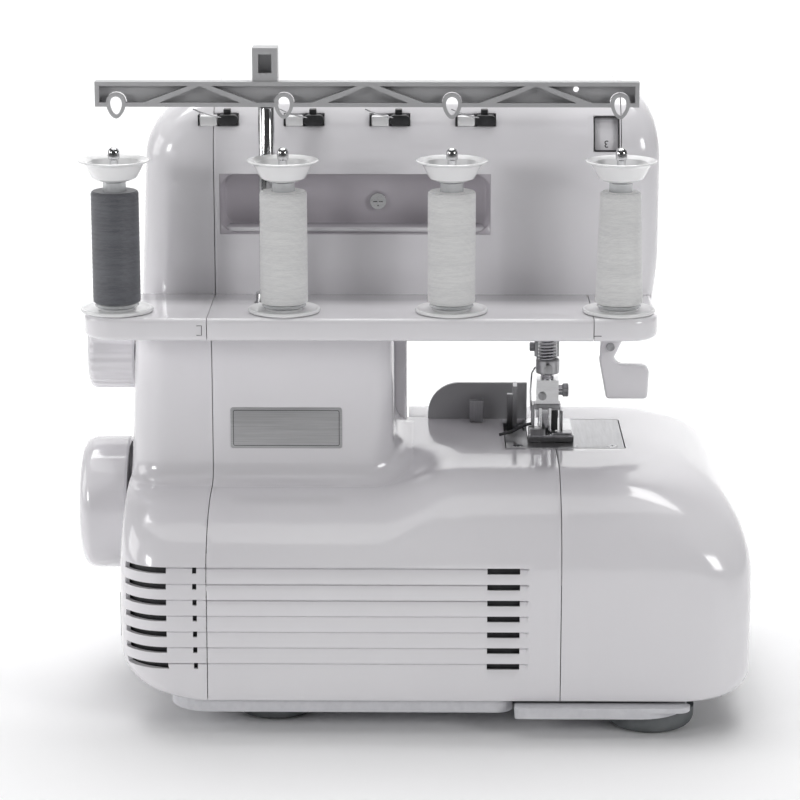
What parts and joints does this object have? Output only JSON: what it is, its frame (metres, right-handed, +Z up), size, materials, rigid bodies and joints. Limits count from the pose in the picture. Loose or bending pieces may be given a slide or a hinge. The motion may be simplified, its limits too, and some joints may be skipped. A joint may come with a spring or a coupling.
{
  "type": "serger overlock machine",
  "caption": "Household overlock machine with a free arm, rear spool shelf, telescopic thread stand, handwheel and gathered looper drive.",
  "frame": {"origin": "middle of the whole machine's footprint, on the surface that the feet stand on", "axes": "+Z up, -Y towards the user at the front, +X towards the handwheel side"},
  "size_m": [0.33, 0.196, 0.3227],
  "materials": {
    "shell_white": "gloss",
    "clear_white": "gloss",
    "guide_grey": "satin",
    "dark_plastic": "matte",
    "pan_plastic": "satin",
    "foot_rubber": "matte",
    "bright_steel": "polished",
    "steel": "brushed",
    "cast_metal": "cast",
    "bronze": "turned",
    "belt_rubber": "matte",
    "label_foil": "printed foil",
    "lamp_lens": "frosted",
    "grey_thread": "wound thread",
    "white_thread": "wound thread"
  },
  "bodies": {
    "machine": {"bottom_pan": "pan_plastic", "free_arm_tray": "pan_plastic", "rubber_feet": "foot_rubber", "screws": "bright_steel", "main_frame": "cast_metal", "rear_cover": "shell_white", "side_cover": "shell_white", "front_panel": "shell_white", "face_cover": "shell_white", "rating_label": "label_foil", "guide_blocks": "dark_plastic", "guide_springs": "bright_steel", "spool_pins": "bright_steel", "spool_discs": "clear_white", "spool_caps": "clear_white", "pole_base": "bright_steel", "pole_outer": "bright_steel", "needle_plate": "steel", "lower_knife": "steel", "motor": "dark_plastic", "drive_belt": "belt_rubber", "shaft_bushes": "bronze", "power_inlet": "dark_plastic", "work_lamp": "lamp_lens", "looper_guard": "guide_grey", "tension_axle": "steel"},
    "handwheel": {"handwheel": "shell_white", "main_shaft": "steel", "machine_pulley": "dark_plastic"},
    "motor_rotor": {"motor_shaft": "steel", "motor_pulley": "dark_plastic"},
    "needle_lever": {"needle_lever": "cast_metal"},
    "needle_rod": {"needle_rod": "cast_metal"},
    "needle_bar": {"needle_bar": "bright_steel", "needle_clamp": "steel", "needles": "bright_steel"},
    "upper_looper": {"upper_looper": "bright_steel"},
    "lower_looper": {"lower_looper": "bright_steel"},
    "upper_knife": {"upper_knife": "steel"},
    "feed_dogs": {"feed_dogs": "steel"},
    "presser": {"presser_bar": "bright_steel", "presser_foot": "bright_steel"},
    "lifter_lever": {"lifter_lever": "shell_white"},
    "tension_dial_1": {"tension_dial_1": "guide_grey"},
    "tension_dial_2": {"tension_dial_2": "guide_grey"},
    "tension_dial_3": {"tension_dial_3": "guide_grey"},
    "tension_dial_4": {"tension_dial_4": "guide_grey"},
    "length_dial": {"length_dial": "shell_white"},
    "differential_dial": {"differential_dial": "shell_white"},
    "pressure_dial": {"pressure_dial": "shell_white"},
    "looper_cover": {"looper_cover": "shell_white"},
    "work_table": {"work_table": "shell_white"},
    "pole_middle": {"pole_middle": "bright_steel"},
    "thread_guide": {"thread_guide_bar": "guide_grey"},
    "switch_rocker": {"switch_rocker": "dark_plastic"},
    "rolled_hem_lever": {"rolled_hem_lever": "steel"},
    "thread_spool_1": {"thread_spool_1": "grey_thread"},
    "thread_spool_2": {"thread_spool_2": "white_thread"},
    "thread_spool_3": {"thread_spool_3": "white_thread"},
    "thread_spool_4": {"thread_spool_4": "white_thread"}
  },
  "joints": [
    {"name": "handwheel_turn", "type": "hinge", "parent": "machine", "child": "handwheel", "pos_m": [0.1395, -0.006, 0.0887], "axis": [1, 0, 0], "continuous": true},
    {"name": "motor_turn", "type": "hinge", "parent": "machine", "child": "motor_rotor", "pos_m": [0.0965, 0.055, 0.049], "axis": [1, 0, 0], "continuous": true},
    {"name": "needle_lever_rock", "type": "hinge", "parent": "machine", "child": "needle_lever", "pos_m": [-0.017, -0.033, 0.254], "axis": [0, 1, 0], "range_deg": [-26, 3]},
    {"name": "needle_bar_slide", "type": "slide", "parent": "machine", "child": "needle_bar", "axis": [0, 0, 1], "range_m": [-0.0242, 0.0029]},
    {"name": "needle_rod_slide", "type": "slide", "parent": "machine", "child": "needle_rod", "axis": [0, 0, 1], "range_m": [-0.0026, 0.0208]},
    {"name": "upper_looper_swing", "type": "hinge", "parent": "machine", "child": "upper_looper", "pos_m": [-0.027, -0.046, 0.0667], "axis": [0, 1, 0], "range_deg": [-2.5, 19]},
    {"name": "lower_looper_swing", "type": "hinge", "parent": "machine", "child": "lower_looper", "pos_m": [-0.039, -0.032, 0.0707], "axis": [0, 1, 0], "range_deg": [-12.5, 1.8]},
    {"name": "upper_knife_slide", "type": "slide", "parent": "machine", "child": "upper_knife", "axis": [0, 0, 1], "range_m": [-0.0045, 0.0006]},
    {"name": "feed_dogs_slide", "type": "slide", "parent": "machine", "child": "feed_dogs", "axis": [0, 1, 0], "range_m": [-0.0004, 0.0023]},
    {"name": "presser_bar_slide", "type": "slide", "parent": "machine", "child": "presser", "axis": [0, 0, 1], "range_m": [0, 0.0058]},
    {"name": "lifter_lever_turn", "type": "hinge", "parent": "machine", "child": "lifter_lever", "pos_m": [-0.1, -0.007, 0.17], "axis": [0, 1, 0], "range_deg": [0, 58]},
    {"name": "tension_dial_1_turn", "type": "hinge", "parent": "machine", "child": "tension_dial_1", "pos_m": [0.094, -0.078, 0.245], "axis": [1, 0, 0], "range_deg": [-160, 160]},
    {"name": "tension_dial_2_turn", "type": "hinge", "parent": "machine", "child": "tension_dial_2", "pos_m": [0.052, -0.078, 0.245], "axis": [1, 0, 0], "range_deg": [-160, 160]},
    {"name": "tension_dial_3_turn", "type": "hinge", "parent": "machine", "child": "tension_dial_3", "pos_m": [0.01, -0.078, 0.245], "axis": [1, 0, 0], "range_deg": [-160, 160]},
    {"name": "tension_dial_4_turn", "type": "hinge", "parent": "machine", "child": "tension_dial_4", "pos_m": [-0.032, -0.078, 0.245], "axis": [1, 0, 0], "range_deg": [-160, 160]},
    {"name": "length_dial_turn", "type": "hinge", "parent": "machine", "child": "length_dial", "pos_m": [0.1395, -0.016, 0.165], "axis": [1, 0, 0], "range_deg": [-150, 150]},
    {"name": "differential_dial_turn", "type": "hinge", "parent": "machine", "child": "differential_dial", "pos_m": [0.1395, -0.059, 0.087], "axis": [1, 0, 0], "range_deg": [-120, 120]},
    {"name": "pressure_dial_turn", "type": "hinge", "parent": "machine", "child": "pressure_dial", "pos_m": [-0.102, -0.026, 0.267], "axis": [1, 0, 0], "range_deg": [-150, 150]},
    {"name": "looper_cover_open", "type": "hinge", "parent": "machine", "child": "looper_cover", "pos_m": [0, -0.09175, 0.02], "axis": [1, 0, 0], "range_deg": [0, 80]},
    {"name": "work_table_pull", "type": "slide", "parent": "machine", "child": "work_table", "axis": [-1, 0, 0], "range_m": [0, 0.1]},
    {"name": "pole_middle_rise", "type": "slide", "parent": "machine", "child": "pole_middle", "axis": [0, 0, 1], "range_m": [0, 0.075]},
    {"name": "thread_guide_rise", "type": "slide", "parent": "pole_middle", "child": "thread_guide", "axis": [0, 0, 1], "range_m": [0, 0.075]},
    {"name": "power_switch", "type": "hinge", "parent": "machine", "child": "switch_rocker", "pos_m": [0.1345, 0.0345, 0.052], "axis": [0, 1, 0], "range_deg": [-14, 0]},
    {"name": "rolled_hem_slide", "type": "slide", "parent": "machine", "child": "rolled_hem_lever", "axis": [0, 1, 0], "range_m": [0, 0.009]},
    {"name": "spool_1_spin", "type": "hinge", "parent": "machine", "child": "thread_spool_1", "pos_m": [0.1405, 0.046, 0.198], "axis": [0, 0, 1], "continuous": true},
    {"name": "spool_2_spin", "type": "hinge", "parent": "machine", "child": "thread_spool_2", "pos_m": [0.06017, 0.046, 0.198], "axis": [0, 0, 1], "continuous": true},
    {"name": "spool_3_spin", "type": "hinge", "parent": "machine", "child": "thread_spool_3", "pos_m": [-0.02017, 0.046, 0.198], "axis": [0, 0, 1], "continuous": true},
    {"name": "spool_4_spin", "type": "hinge", "parent": "machine", "child": "thread_spool_4", "pos_m": [-0.1005, 0.046, 0.198], "axis": [0, 0, 1], "continuous": true}
  ],
  "couplings": [
    {"joint": "motor_turn", "follows": "handwheel_turn", "ratio": 3},
    {"joint": "needle_bar_slide", "follows": "needle_lever_rock", "m_per_rad": 0.052},
    {"joint": "needle_rod_slide", "follows": "needle_lever_rock", "m_per_rad": -0.045},
    {"joint": "upper_looper_swing", "follows": "needle_lever_rock", "ratio": -0.7},
    {"joint": "lower_looper_swing", "follows": "needle_lever_rock", "ratio": 0.46},
    {"joint": "upper_knife_slide", "follows": "needle_lever_rock", "m_per_rad": 0.0095},
    {"joint": "feed_dogs_slide", "follows": "needle_lever_rock", "m_per_rad": -0.0048},
    {"joint": "lifter_lever_turn", "follows": "presser_bar_slide", "rad_per_m": 161.29}
  ]
}
